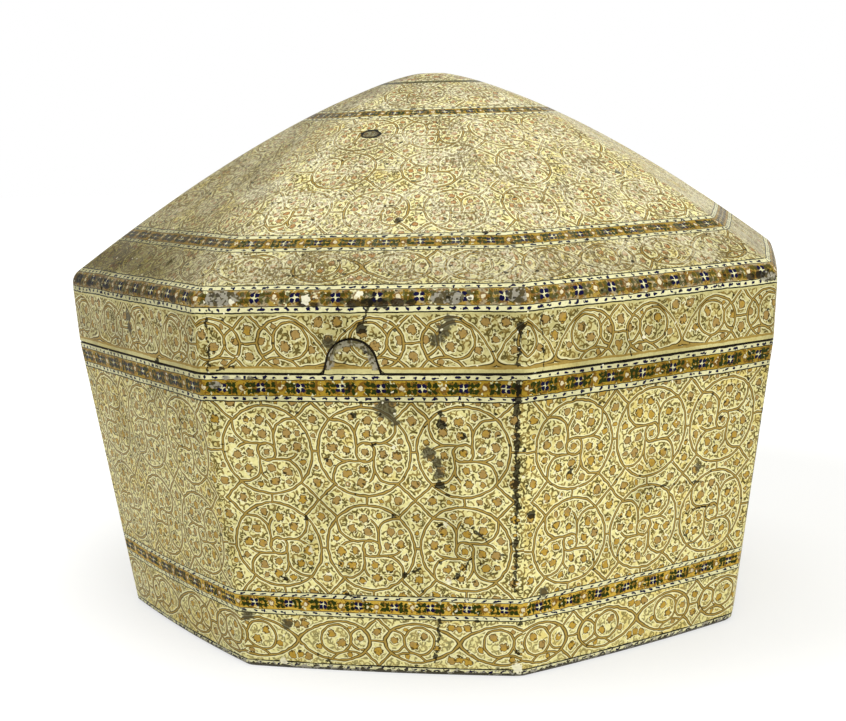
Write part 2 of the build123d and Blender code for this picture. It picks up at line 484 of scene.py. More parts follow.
class Number:
    """A number in a material, joined to others with ordinary arithmetic."""

    def __init__(self, tree, socket):
        self.tree = tree
        self.socket = socket

    def __add__(self, other):
        return self if is_plain(other, 0) else self.tree.number("ADD", self, other)

    __radd__ = __add__

    def __sub__(self, other):
        return self if is_plain(other, 0) else self.tree.number("SUBTRACT", self, other)

    def __rsub__(self, other):
        return self.tree.number("SUBTRACT", other, self)

    def __mul__(self, other):
        if is_plain(other, 0):
            return 0.0
        return self if is_plain(other, 1) else self.tree.number("MULTIPLY", self, other)

    __rmul__ = __mul__

    def __truediv__(self, other):
        return self if is_plain(other, 1) else self.tree.number("DIVIDE", self, other)

    def __rtruediv__(self, other):
        return self.tree.number("DIVIDE", other, self)

    def __pow__(self, other):
        return self.tree.number("POWER", self, other)

    def __mod__(self, other):
        return self.tree.number("FLOORED_MODULO", self, other)

    def __abs__(self):
        return self.tree.number("ABSOLUTE", self)

    def __gt__(self, other):
        return self.tree.number("GREATER_THAN", self, other)

    def __lt__(self, other):
        return self.tree.number("LESS_THAN", self, other)


def is_plain(value, number):
    """Whether a value is an ordinary number with this size, rather than a shader's."""
    return isinstance(value, (int, float)) and value == number


def ramp(value, start, end, low=0.0, high=1.0):
    """Goes smoothly from low to high as value goes from start to end."""
    inputs = {"Value": value, "From Min": start, "From Max": end, "To Min": low, "To Max": high}
    node = value.tree.add("ShaderNodeMapRange", inputs, interpolation_type="SMOOTHSTEP")
    return Number(value.tree, node.outputs[0])


def joined(operation, first, others):
    """Joins values two by two, of which some may be ordinary numbers."""
    for other in others:
        if isinstance(first, Number) or isinstance(other, Number):
            tree = first.tree if isinstance(first, Number) else other.tree
            first = tree.number(operation, first, other)
        else:
            first = min(first, other) if operation == "MINIMUM" else max(first, other)
    return first


def least(first, *others):
    """The smallest of some numbers."""
    return joined("MINIMUM", first, others)


def greatest(first, *others):
    """The largest of some numbers."""
    return joined("MAXIMUM", first, others)


def floored(value):
    """A number rounded down."""
    return value.tree.number("FLOOR", value)


def length(x, y):
    """The length of a flat vector."""
    return (x * x + y * y) ** 0.5


def linear(code):
    """A colour for the materials, from its hexadecimal screen code."""
    channels = [int(code[place : place + 2], 16) / 255 for place in (0, 2, 4)]
    return tuple(c / 12.92 if c <= 0.04045 else ((c + 0.055) / 1.055) ** 2.4 for c in channels)


# Colours of the board and paper inside, and of the painting
BOARD, BOARD_DARK = linear("66503c"), linear("463628")
LINING, LINING_DARK = linear("9f563b"), linear("83442c")
GROUND = linear("ebe39f")
GROUND_WARM = linear("e2c865")
SKIRT_GROUND = linear("b5ac77")
HALO = linear("f4efc0")
STEM = linear("aa8f48")
STEM_EDGE = linear("493b13")
FLOWER = linear("a98c51")
FLOWER_GOLD = linear("bb983f")
FLOWER_FADED = linear("b8804a")
FLOWER_EDGE = linear("51411a")
LEAF = linear("5b4d1b")
BAND_GOLD = linear("a98a2c")
BAND_GOLD_LOW = linear("caa742")
STRIP = linear("e3dfae")
INK = linear("15140f")
BLUE = linear("0e0e35")
GREEN = linear("2b3409")
RED_BROWN = linear("6f4c17")
PINK = linear("ddd2ab")
GRIME_AND_SHADE = linear("87804e")
SMUDGE = linear("494431")
BARE = linear("a09c8c")
LOSS = linear("1b1810")
STREAK = linear("716138")
PALE = linear("f4f0d2")

# The painting's zones from the foot upwards: where each starts, what is painted in it, how many
# times that is repeated on one side, and the share of the side that this covers
ROOF_BAND_SHARES = (0.875, 0.824)
UPPER_BAND_SHARES = (0.3755, 0.326)
CROWN_LINE_SHARES = (0.156, 0.14)
ROOF_BAND = [roof_run(share) for share in ROOF_BAND_SHARES]
UPPER_BAND = [roof_run(share) for share in UPPER_BAND_SHARES]
CROWN_LINE = [roof_run(share) for share in CROWN_LINE_SHARES]
FIELD_LOW, FIELD_HIGH = 30.1, 100.8
FOOT_RUN = -1.0
SEAM_RUN = SEAM_Z + SEAM_GAP / 2
GOLD_LINE_RUN = 112.9
SKIRT_LOW, SKIRT_HIGH = 113.1, 130.9
EAVE_BAND_LOW, EAVE_BAND_HIGH = 131.7, 142.7
ROOF_ROWS = 3
ROOF_ROW = (UPPER_BAND[0] - ROOF_BAND[1]) / ROOF_ROWS
ZONES = (
    (FOOT_RUN, "edge", 8, 1.0),
    (3.0, "frieze", 4, 1.148),
    (21.2, "band", 8, 1.0),
    (FIELD_LOW, "medallions", 3, 0.945),
    ((FIELD_LOW + FIELD_HIGH) / 2, "medallions", 3, 0.94),
    (FIELD_HIGH, "band", 8, 1.0),
    (SEAM_RUN, "skirt", 4, 1.0),
    (EAVE_BAND_LOW, "band", 8, 1.0),
    (EAVE_BAND_HIGH, "frieze", 4, 1.0),
    (ROOF_BAND[0], "band", 8, 1.0),
    (ROOF_BAND[1], "medallions", 3, 1.0),
    (ROOF_BAND[1] + ROOF_ROW, "medallions", 2, 0.96),
    (ROOF_BAND[1] + 2 * ROOF_ROW, "medallions", 2, 1.0),
    (UPPER_BAND[0], "band", 4, 1.0),
    (UPPER_BAND[1], "medallions", 1, 1.0),
    (CROWN_LINE[0], "band", 2, 1.0),
    (CROWN_LINE[1], "frieze", 1, 1.0),
    (CROWN_RUN + 1, "frieze", 1, 1.0),
)

# Reference sizes, in millimetres, at which each pattern is drawn
MEDALLION_WIDTH, MEDALLION_HEIGHT = 34.4, 34.8
FRIEZE_HEIGHT = 19.0
BAND_HEIGHT = 8.9
MEDALLION_RADIUS = 16.1

# Flowers of the patterns, as places and radii: in a quarter of a medallion, in the corner of its
# cell, in a frieze unit, outside its tie, and beside and above its point
MEDALLION_FLOWERS = (
    (7.6, 6.6, 1.55), (6.3, 0.9, 1.4), (11.2, 1.6, 1.55), (12.6, -3.8, 1.2), (11.6, 6.4, 1),
    (0, 0, 1.25),
)
CORNER_FLOWERS = ((0, 6.2, 1.5), (6.2, 0, 1.5), (0, 11.9, 0.9), (12.2, 0, 0.9))
FRIEZE_FLOWERS = (
    (-2.4, 3, 1.45), (1.3, -0.9, 1.55), (-7.4, -1.9, 1.2), (8.9, 0.9, 1.35), (4.3, -5.7, 1),
    (4.6, 5.4, 0.8),
)
OUTER_FLOWER = ((0, 4, 1.5),)
POINT_FLOWER = ((3.1, 6.6, 1.5),)
POINT_MIDDLE = ((0, 6, 1.3),)
DIAGONAL = 0.707

# Small curls that fill the fields: the size of their cells and how far these are moved along,
# and half the width of their stroke
SPRIGS = ((2.8, 0.0), (3.3, 31.0), (3.8, 57.0))
SPRIG_STROKE = 0.19

# Dashes of the dotted strips: pitch, half length and height, and place from the band's edge
DASH_PITCH = 3.9
DASH_LENGTH, DASH_HEIGHT, DASH_PLACE = 0.75, 0.42, 1.15

# Sizes of the noise that makes the paint uneven and of the specks' cells, how far apart the
# sprigs and streaks of two sides are taken from, and the varnish's shine
WANDER, JITTER, FINE, CLOUD = 21.0, 2.4, 0.85, 13.0
SPECK_CELL = 3.6
SPRIG_SIDE, STREAK_SIDE = 173.0, 51.0
SHINE = 0.04


class Zones:
    """Looks up values that change from zone to zone, over a piece's part of the painting."""

    def __init__(self, run, low, high):
        spans = [
            (*zone, after[0], ZONES.index(zone) % 2)
            for zone, after in zip(ZONES, ZONES[1:])
            if after[0] > low and zone[0] < high
        ]
        starts, self.kinds, self.counts, self.covered, tops, self.parity = zip(*spans)
        self.centres = [(start + top) / 2 for start, top in zip(starts, tops)]
        self.halves = [(top - start) / 2 for start, top in zip(starts, tops)]
        self.passed = [run > start for start in starts[1:]]

    def choose(self, values):
        """A number that takes one value in each zone."""
        result = float(values[0])
        for passed, before, after in zip(self.passed, values, values[1:]):
            if abs(after - before) > 1e-9:
                result = passed * (after - before) + result
        return result

    def flag(self, kind):
        """1 in the zones of a kind and 0 elsewhere."""
        return self.choose([float(own == kind) for own in self.kinds])


def nearest(tree, x, y, marks):
    """The distance to the nearest of some round marks, as a share of its radius."""
    place = tree.point(x, y)
    return least(*[tree.distance(place, (at_x, at_y, 0.0)) / size for at_x, at_y, size in marks])


def medallion(tree, x, y, reach_x, reach_y):
    """Distances to the stems and the flowers of one medallion: a ring crossed by four curling
    arms round a rosette, with crossing lines out to the corners of its cell."""
    radius = length(x, y)
    ring = abs(radius - MEDALLION_RADIUS)
    angle = tree.number("ARCTAN2", y, x)

    def folded(start):
        """The point turned into the quarter that starts at an angle."""
        turned = floored((angle - start) / (pi / 2)) * (-pi / 2) + angle
        return tree.number("COSINE", turned) * radius, tree.number("SINE", turned) * radius

    arm_x, arm_y = folded(radians(-5))
    bend_x, bend_y, bend = 9.2, 5.2, 6.3
    side_x, side_y = bend_x - arm_x, arm_y - bend_y
    outside = length(greatest(side_x, 0), greatest(side_y, 0))
    arm = abs(outside + least(greatest(side_x, side_y), 0) - bend)
    tail = abs(length(arm_x + 2.6, arm_y - 6.5) - 5.5)
    tail = greatest(tail, 6.5 - arm_y, arm_y - 10.9)
    hub = abs(radius - 3.3)
    inner = greatest(least(arm, tail), radius - MEDALLION_RADIUS)
    spokes = abs(abs(x) - abs(y) - (reach_x - reach_y)) * DIAGONAL
    ties = least(abs(x), abs(y)) * 1.1
    outer = greatest(least(spokes, ties), MEDALLION_RADIUS - radius)
    stems = least(ring, hub, inner, outer)

    inside = nearest(tree, *folded(radians(-40)), MEDALLION_FLOWERS)
    return stems, least(inside, nearest(tree, reach_x - abs(x), reach_y - abs(y), CORNER_FLOWERS))


def frieze(tree, x, y, reach_x, sunk):
    """Distances to the stems and the flowers of one frieze unit: an oval with a curl inside,
    which meets one neighbour in a point and the other by a tie. The point is sunk to the
    lower border where sunk is 1."""
    left = x < 0
    towards_point = greatest(x * -1 / reach_x, 0)
    level = towards_point * towards_point * sunk * 5.6 + y
    span = tree.either(left, reach_x - 2.9, reach_x)
    power = tree.either(left, 2, 1.45)
    oval = ((abs(x) / span) ** power + (abs(level) / 8) ** power) ** (1 / power) - 1
    outline = abs(oval) * 8
    within = oval * 8
    curl = abs(length(x + 0.6, y - 0.9) - 5.7)
    branch = greatest(abs(length(x - 9.2, y - 0.6) - 4.4), x - 9.6)
    under = greatest(abs(length(x - 3.6, y + 12.6) - 8.4), -4 - x)
    inner = greatest(least(curl, branch, under), within)
    corner_x, corner_y = reach_x - x, 9.5 - abs(y)
    lean = abs(corner_x - corner_y) * DIAGONAL
    outer = greatest(least(lean, abs(y)), 0.2 - within, 2 - x)
    stems = least(outline, inner, outer)
    inside = nearest(tree, x, y, FRIEZE_FLOWERS)
    outside = nearest(tree, corner_x, abs(y), OUTER_FLOWER)
    beside_y = tree.either(sunk, abs(y), y)
    beside = nearest(tree, x + reach_x, beside_y, POINT_FLOWER)
    middle = nearest(tree, x + reach_x, sunk * 4.6 + beside_y, POINT_MIDDLE)
    return stems, least(inside, outside, beside, middle)


def segments(tree, place, points):
    """The distance from a place to a line through some points."""
    distances = []
    for start, end in zip(points, points[1:]):
        offset = tree.vector("SUBTRACT", place, start)[0]
        span = tuple(b - a for a, b in zip(start, end))
        inputs = {0: tree.vector("DOT_PRODUCT", offset, span)["Value"]}
        inputs[1] = 1 / sum(part * part for part in span)
        share = tree.add("ShaderNodeMath", inputs, operation="MULTIPLY", use_clamp=True)
        foot = tree.vector("SCALE", span, Scale=share.outputs[0])[0]
        distances.append(tree.distance(offset, foot))
    return least(*distances)


# How far apart the sides lie in the space where the ageing is placed
SIDE_APART = 400.0

# Dark cracks and scratches: side, half width, and the points they run through as distances
# from the side's middle and runs
CRACKS = (
    (0, 0.32, ((0.5, 125), (2.9, 131), (5.4, 136.1), (7, 142.6))),
    (0, 0.28, ((-53.3, 132), (-52.9, 122.6), (-53.9, 111))),
    (0, 0.55, ((55.6, 127.3), (54.6, 120.7), (53.9, 113.9))),
    (0, 1.15, ((53.8, 108), (52.9, 97))), (0, 0.75, ((53, 97), (52.1, 78))),
    (0, 1, ((52.1, 78), (51.3, 62))), (0, 0.5, ((51.3, 62), (49.7, 33))),
    (0, 0.4, ((22.7, 24.7), (21.6, 12), (19.9, 5))),
    (0, 0.35, ((-44, 113.4), (-51, 112.2))), (0, 0.3, ((-15.2, 42.5), (-9.5, 39.8))),
    (0, 0.45, ((35.7, 56.5), (40.6, 51.5))), (0, 0.5, ((29, 37.5), (35, 44.8))),
    (0, 0.4, ((16.2, 40.2), (13.4, 38.4))), (0, 0.45, ((-23.5, 5.8), (-18.5, 3.4))),
    (0, 0.4, ((-11.5, 30.2), (-6, 29.2))),
    (1, 0.25, ((-52, 130.8), (-51, 121.7), (-50.6, 111.5))),
    (1, 0.18, ((-12.9, 114.9), (-12.7, 111.1))),
    (1, 0.22, ((3.3, 62.1), (14, 61.6), (25.7, 60.4))), (1, 0.22, ((20.9, 50.3), (34.9, 49.9))),
    (1, 0.3, ((20, 41), (25.5, 36.5))), (7, 0.2, ((34, 92), (30.5, 84), (31.5, 70))),
    (7, 0.25, ((-24.9, 133), (-22, 144.5))),
    (2, 0.5, ((-54, 96), (-52.5, 60), (-51.8, 40))),
    (3, 0.3, ((12, 131), (16, 118), (13.5, 111))),
    (4, 0.45, ((-30, 24), (-26, 8))),
    (5, 0.5, ((53.5, 100), (52, 70), (50.5, 44))),
)

# Dark spots and losses: side, distance from its middle, run and radius
LOSSES = (
    (0, 1.3, 126.2, 1.9), (0, 55.4, 127, 1.7), (0, 27.2, 97, 1.2), (0, 26.7, 93.4, 1.5),
    (0, 25.4, 71.5, 1.6), (0, -32.5, 35.1, 1.1), (0, 24.5, 57, 0.8), (0, -23.1, 58.9, 1),
    (0, 11.1, 38.2, 1.1), (0, -3, 96.4, 1.1), (0, 2.9, 85.8, 0.8), (0, -13.8, 80.5, 0.7),
    (0, 34.6, 88.9, 0.9), (0, 50.7, 20.5, 0.9), (0, 49.5, 9.4, 0.9), (0, 8.7, 175, 1.5),
    (0, 40.5, 167.8, 0.9), (0, -41, 61.5, 0.6), (0, -3.8, 106, 1.1), (0, 8.5, 60, 0.7),
    (7, 22.3, 111.4, 1.5), (7, 15.6, 151.4, 1.9), (1, -51.2, 61, 1.5), (1, 22.6, 197.6, 1.3),
    (1, -36, 74, 0.8), (1, 33, 84, 0.8), (3, -20, 74, 1.6), (4, 14, 118, 1.8), (6, 31, 52, 1.3),
)

# A round hole in the paint on the front of the roof, a little wider than high
HOLE_X, HOLE_RUN, HOLE_RADIUS, HOLE_OVAL = -11.2, 230, 3.4, 0.8

# Grey rubbed and dirty places: side, distance from its middle, run and radius
SMUDGES = (
    (0, 8.2, 98.2, 3.6), (0, 10.8, 94.5, 2.2), (0, 31.6, 129, 2.4), (0, 29.5, 126, 2.6),
    (0, 27, 122.8, 2.3), (0, 22, 83, 2.6), (0, 24.6, 79.5, 2), (0, 25.2, 75.6, 1.9),
    (0, -33.7, 17.6, 2.2), (0, -10.5, 121.8, 2.4), (0, -48.6, 20.3, 2.4), (7, -0.8, 126, 2.6),
    (7, -0.4, 121.5, 2), (1, 24.2, 66.5, 1.8), (1, -44, 31, 2), (2, 12, 90, 3), (5, -18, 62, 3.2),
)

# Small pale places where the colour has flaked off: side, distance from its middle, run, radius
FLAKES = (
    (0, -17.5, 136.6, 1.7), (0, 0.6, 138.2, 1.1), (0, 38.6, 136.6, 0.9), (0, 26.7, 57.1, 0.9),
    (0, 26.6, 35.9, 1), (0, -22.3, 46.6, 0.9), (0, 10.2, 84.8, 0.8), (0, -16.8, 37.7, 0.8),
    (0, -44, 135.8, 1.1), (1, -40, 66, 0.8), (0, 49, 3.5, 1.8), (0, -36, 3, 1.6),
)

# Worn silvery patches on the eave band, drawn out along it
DRAWN_OUT = 0.6
BARE_PATCHES = (
    (0, -48.6, 137.2, 3), (0, -45, 137.2, 2.3), (0, 29.2, 136.8, 2.2), (0, 33, 136.6, 2.1),
    (0, 55.5, 137.6, 2.9), (1, 52, 134.8, 1.9), (1, 54.6, 134.4, 1.7), (0, -52, 106.8, 1.3),
    (0, -47.5, 109.3, 0.8), (0, -43.5, 109.2, 0.7), (0, -39, 109.3, 0.7), (3, 50, 137, 2.2),
    (6, -51, 136.5, 2.4),
)

# Places on the eave band where the paint is worn through to the dark, drawn out along it
DARK_WEAR = (
    (0, -19, 134.9, 1), (0, -14.5, 134.6, 0.9), (0, -1, 134.9, 1.6), (0, 3.5, 135.1, 1.5),
    (0, 8.5, 135, 1.6), (0, 14, 135.2, 1.5), (0, 18.5, 135.1, 1.1), (1, 44, 135.2, 1.4),
    (1, 48.5, 135.6, 1.5), (7, -50, 137, 1.8), (7, -38, 136.2, 1.6), (7, -28, 138, 1.2),
    (7, -20, 136, 1.3), (7, 41, 135.6, 1.5), (4, 20, 136, 1.6),
)


def spots(tree, place, marks, low, high, drawn_out=1.0):
    """How far outside the nearest of some round marks a place is, less than 0 within one. Only
    marks between two runs count. The place is already drawn out along the side, the marks not."""
    gaps = [
        tree.distance(place, (x * drawn_out, run, side * SIDE_APART)) - radius
        for side, x, run, radius in marks
        if low - radius < run < high + radius
    ]
    return least(*gaps) if gaps else 99.0


def tongue_edge(tree, place_x, run):
    """How far a place on the front is inside the tongue's outline."""
    x = place_x - TONGUE_OFFSET
    y = run - SEAM_Z
    arched = ARCH_RADIUS - length(x, y - ARCH_CENTRE)
    straight = TONGUE_WIDTH / 2 - y * TONGUE_LEAN - abs(x)
    return tree.either(y > TONGUE_WAIST_HEIGHT, straight, arched)


def painted_material(name, low, high):
    """The painted and varnished outside of a piece that lies between two runs."""
    on_body, on_roof = low < FOOT_EDGE, high > EAVE_BAND_HIGH
    material = bpy.data.materials.new(name)
    tree = Tree(material)
    coats, mix, point = tree.coats, tree.mix, tree.point
    panel = tree.add("ShaderNodeAttribute", attribute_name="panel").outputs["Vector"]
    across, run, half = tree.parts(panel)
    side = Number(tree, tree.add("ShaderNodeAttribute", attribute_name="side").outputs["Fac"])
    place_x = across * half
    side_place = side * SIDE_APART
    place = point(place_x, run, side_place)

    wander, cloud = tree.noises(place, WANDER, 1), tree.noises(place, CLOUD, 2)
    jitter, fine = tree.noises(place, JITTER), tree.noises(place, FINE)
    line_run = wander[0] + jitter[1] * 0.4 + run
    zones = Zones(line_run, low, high)
    heights = {"medallions": MEDALLION_HEIGHT, "frieze": FRIEZE_HEIGHT, "skirt": FRIEZE_HEIGHT}
    scales = [2 * h / heights.get(k, BAND_HEIGHT) for h, k in zip(zones.halves, zones.kinds)]
    widths = [MEDALLION_WIDTH if kind == "medallions" else 1 for kind in zones.kinds]
    centre, reach_y = zones.choose(zones.centres), zones.choose(zones.halves)
    count, covered = zones.choose(zones.counts), zones.choose(zones.covered)
    is_band, is_edge, is_skirt = zones.flag("band"), zones.flag("edge"), zones.flag("skirt")
    is_frieze = greatest(zones.flag("frieze"), is_skirt)

    # Cells along the side. No two sides are divided quite alike, and the skirt's pattern runs on
    # past the corners.
    moved = tree.number("COSINE", side * 2.6 + 1.8) * (1 - is_band) * 0.034
    shift = (side * 0.13 + 0.17) * is_skirt * -1 + moved
    cell = ((across - shift) / covered + 1) * count * 0.5
    free = is_skirt * 9
    number = least(greatest(floored(cell), free * -1), count - 1 + free)
    width = half * covered * 2 / count
    odd = (number + zones.choose(zones.parity) + side) % 2
    facing = 1 - odd * 2
    cell_x = (cell - number - 0.5) * width
    cell_y = line_run - centre
    scale = least(width / zones.choose(widths), zones.choose(scales))

    # Patterns of the fields, drawn a little unevenly
    drawn_x = (wander[1] * 1.8 + jitter[0] * 0.7 + cell_x) * facing / scale
    drawn_y = (wander[2] * 1.8 + jitter[2] * 0.7 + cell_y) / scale
    reach_x = width * 0.5 / scale
    stems, flowers = frieze(tree, drawn_x, drawn_y, reach_x, is_skirt)
    if "medallions" in zones.kinds:
        round_stems, round_flowers = medallion(tree, drawn_x, drawn_y, reach_x, reach_y / scale)
        stems = tree.either(is_frieze, round_stems, stems)
        flowers = tree.either(is_frieze, round_flowers, flowers)
    stems = stems * scale
    flowers = fine[0] * 1.1 + jitter[2] * 0.5 + flowers

    def sprigs(size, moved):
        """Small curls, each turned its own way, that end in a comma leaf."""
        at = point(jitter[0] * 0.5 + place_x + moved, jitter[1] * 0.5 + side * SPRIG_SIDE + run)
        (dx, dy, dz), (turn, share, other) = tree.scatter(at, size)
        angle = turn * 4 * pi
        cosine, sine = tree.number("COSINE", angle), tree.number("SINE", angle)
        along, beside = dx * cosine + dy * sine, dy * cosine - dx * sine
        bend = size * 0.34
        curl = greatest(abs(length(along, beside) - bend) - SPRIG_STROKE, along - bend * 0.45)
        leaf = length((beside - bend) / 0.3, (along - bend * 0.35) / 0.62) * 0.4 - 0.4
        return least(curl, leaf)

    small = least(*[sprigs(size, moved) for size, moved in SPRIGS])
    clear = ramp(stems, 0.85, 1.05) * ramp(flowers, 1.3, 1.5)
    # Painted shade: every face but the front gets a warmer, darker ground and more golden flowers
    side_face_shade = ramp(side, 0.4, 0.6) * 0.09
    golden = side_face_shade - run * 0.0018 + cloud[1] + jitter[2] * 0.5
    ground = coats(GROUND, (GROUND_WARM, cloud[0] + side_face_shade, 0.06, 0.22, 0.5))
    ground = mix(is_skirt * 0.5, ground, SKIRT_GROUND)
    leaf_tone = coats(LEAF, (STEM, jitter[0], -0.1, 0.15, 0.6))
    leafiness = ramp(run, 8, 30, 0.7, 0.95) if on_body else 0.95
    colour = coats(ground, (leaf_tone, small, 0.16, -0.02, clear, leafiness))
    halo = greatest(ramp(stems, 1, 0.85), ramp(flowers, 1.5, 1.38))
    colour = mix(halo * 0.7, colour, HALO)
    tint = coats(FLOWER, (FLOWER_GOLD, golden, -0.2, 0.04))
    if on_roof:
        tint = mix(0.6, tint, FLOWER_FADED)
    colour = coats(
        colour,
        (FLOWER_EDGE, flowers, 1.2, 1.05),
        (tint, flowers, 1, 0.7),
        (STEM_EDGE, stems, 0.58, 0.46),
        (STEM, stems, 0.32, 0.18),
    )

    # Flower bands between ruled lines and dotted strips, all narrower in the narrow bands
    from_edge = (reach_y - abs(cell_y)) / tree.either(is_band, 1, zones.choose(scales))
    band_x = (fine[0] * 0.9 + jitter[0] * 0.5 + cell_x) / scale
    band_y = (fine[1] * 0.9 + cell_y) / scale
    quarter = width * 0.25 / scale
    folded_x, folded_y = abs(band_x), abs(band_y)
    sprig = length(abs(folded_x - quarter) - 0.85, folded_y - 0.95)
    stroke = ramp(jitter[0] + fine[2] * 0.9, 0.02, 0.12)
    dot = length(folded_x - quarter * 2, band_y)
    petal = length(folded_x - 0.76, folded_y - 0.76)
    cross = least(folded_x, folded_y) + greatest(folded_x, folded_y) * 0.22
    gold, leafy, slanted = BAND_GOLD, 1, 0
    if on_body:
        gold = coats(gold, (BAND_GOLD_LOW, run, 110, 30))
        slanted = ramp(run, 60, 40)
    if on_roof:
        on_eave = ramp(run, 150, 145)
        gold = mix(ramp(jitter[2], -0.1, 0.1, 0.1, 0.6) * on_eave, gold, BARE)
        leafy = ramp(run, 138, 150, 0.8, 1)
    along_strip = from_edge * slanted * 1.4 + place_x + wander[1] * 6 + jitter[1] * 2.5
    dash_x = abs(along_strip / DASH_PITCH % 1 - 0.5) * DASH_PITCH
    dash = length(dash_x / DASH_LENGTH, abs(from_edge - DASH_PLACE) / DASH_HEIGHT)
    strip = coats(STRIP, (BLUE, dash + fine[2] * 2.2, 1.2, 0.9))
    band = coats(
        gold,
        (RED_BROWN, folded_y, 2.5, 2, stroke, 0.85),
        (STRIP, fine[1] + jitter[1], 0.3, 0.36),
        (GREEN, sprig + fine[2] * 1.8, 0.98, 0.72, leafy),
        (RED_BROWN, dot, 1.3, 1, 0.7),
        (PINK, dot + fine[0] * 0.9, 0.78, 0.55),
        (BLUE, petal, 0.8, 0.6),
        (STRIP, cross, 0.36, 0.24),
        (INK, from_edge, 2.05, 1.98),
        (strip, from_edge, 1.8, 1.72),
        (INK, from_edge, 0.42, 0.34),
    )
    colour = mix(is_band, colour, band)

    if on_body:  # the foot: a dotted strip between ruled lines, then the bare worn edge
        foot = coats(
            INK,
            (strip, run, 2.62, 2.45),
            (INK, run, 1.5, 1.35),
            (BARE, jitter[0] * 5 + fine[1] * 3 + run, 1.6, 1.1),
            (SMUDGE, jitter[2] * 5 + fine[2] * 4 + run, 1.5, 1),
        )
        colour = mix(is_edge, colour, foot)

    rough = jitter[0] * 1.6 + fine[0] * 0.8
    rub = 0
    if not on_roof:
        # The skirt's plain margins and gold line, and the dark edges of the sawn seam
        over = ramp(line_run, SKIRT_HIGH, SKIRT_HIGH + 0.2)
        margins = greatest(over, ramp(line_run, SKIRT_LOW + 0.3, SKIRT_LOW))
        colour = mix(margins * is_skirt, colour, ground)
        colour = coats(colour, (STEM, abs(line_run - GOLD_LINE_RUN), 0.5, 0.35))
        in_tongue = tongue_edge(tree, place_x, run)
        on_front = side < 0.5
        near_tongue = on_front * ramp(abs(in_tongue), 0.5, 0.3) * (run > SEAM_Z - 0.2)
        at_seam = ramp(abs(run - SEAM_RUN), 0.48, 0.34)
        at_seam = (1 - on_front * (in_tongue > 0)) * at_seam
        colour = mix(greatest(near_tongue, at_seam), colour, INK)
        rub = ramp(in_tongue + rough * 1.3, 3, 1.7) * on_front * (in_tongue > 0.35)
        rub = (run > SEAM_Z + 1.5) * rub

    # Rubbed silvery places
    drawn_out = point(place_x * DRAWN_OUT, run, side_place)
    patch = spots(tree, drawn_out, BARE_PATCHES, low, high, DRAWN_OUT) + rough * 0.5
    rubbed = greatest(rub, ramp(patch, 0.25, -0.1))
    silver = coats(SMUDGE, (BARE, fine[1] + jitter[2], -0.05, 0.12))
    colour = mix(rubbed * 0.88, colour, silver)
    if on_roof:
        stain = spots(tree, drawn_out, DARK_WEAR, low, high, DRAWN_OUT) + rough * 0.7
        colour = coats(colour, (LOSS, stain, 0.2, -0.2, 0.85))

    # Smudges, cracks and losses
    drift_x, drift_run = place_x + rough, jitter[2] * 1.6 + run
    drift = point(drift_x, drift_run, side_place)
    smudge = spots(tree, drift, SMUDGES, low, high) + fine[1] * 3.2
    flake = spots(tree, drift, FLAKES, low, high) + fine[0] * 1.6
    loss = spots(tree, drift, LOSSES, low, high) + fine[2] * 1.6
    colour = coats(colour, (SMUDGE, smudge, 0.5, -0.7, 0.88), (PALE, flake, 0.2, -0.2, 0.85))
    cracks = [
        segments(tree, drift, [(x, r, cracked * SIDE_APART) for x, r in points]) - half_width
        for cracked, half_width, points in CRACKS
        if any(low < r < high for x, r in points)
    ]
    crack = least(*cracks) + fine[1] * 1.8 + jitter[2] * 1.5 + cloud[1] * 0.6
    from_corner = (1 - abs(across)) * half
    chips = jitter[1] * 0.7 + cloud[2] + ramp(from_corner, 3.4, 0.8) * 0.16
    chip = ramp(chips, 0.44, 0.5)
    dark = greatest(ramp(loss, 0.2, -0.15), ramp(crack, 0.12, -0.2), chip)
    colour = mix(dark * 0.92, colour, LOSS)

    # Dirt and painted shade, and on the roof also fading in streaks that run down it
    turned = across * 0.5 + side
    # Cloudy dirt, which grows a little upwards as painted shade
    dirt_and_shade = ramp(cloud[1] + wander[1] + least(run, 110) * 0.002, 0.1, 0.5) * 0.55
    # Painted shade: off the roof, darker from halfway up the wall to the top of the skirt
    if not on_roof:
        dirt_and_shade = ramp(run, 60, 128) * 0.22 + dirt_and_shade
    # Painted shade on the faces right of the front
    dirt_and_shade = ramp(turned, 1.1, 1.5) * ramp(side, 2.5, 1.5) * 0.2 + dirt_and_shade
    if on_roof:
        low_roof = ramp(run, 176, 140)
        left_side_shade = ramp(turned, 7.55, 7) * ramp(turned, 4.6, 6.2)
        faded = ramp(run, 140, 145) * (1 - is_band * 0.85)
        streak = tree.noises(point(place_x * 1.3, run * 0.75, side * STREAK_SIDE), 1.15, 1)
        veil = coats(STREAK, (PALE, streak[0], -0.14, 0.06))
        worn = cloud[2] + streak[1] * 0.6 + low_roof * 0.05
        brown = streak[2] * 1.3 + cloud[1] * 0.7 + low_roof * 0.06
        across_hole = point(drift_x * HOLE_OVAL, drift_run, side_place)
        hole = tree.distance(across_hole, (HOLE_X * HOLE_OVAL, HOLE_RUN, 0))
        colour = coats(
            colour,
            (veil, worn, -0.18, 0.22, faded, 0.55),
            (STREAK, brown, 0.1, 0.22, faded, 0.75),
            (GREEN, abs(run - sum(CROWN_LINE) / 2), 1.5, 1, 0.75),
            (SMUDGE, hole, HOLE_RADIUS, HOLE_RADIUS - 0.4, 0.75),
            (LOSS, abs(hole - HOLE_RADIUS + 0.6), 0.7, 0.4),
        )
        # Painted shade: the lower roof is darker, broken into streaks, and the faces left of the
        # front are darker all the way up; the dirt counts for less here
        low_roof = low_roof * ramp(run, 139, 146)
        streaky = (left_side_shade * 0.5 + 0.6) * (streak[0] * 2.4 + 1) * low_roof
        dirt_and_shade = streaky + left_side_shade * 0.8 + dirt_and_shade * 0.3
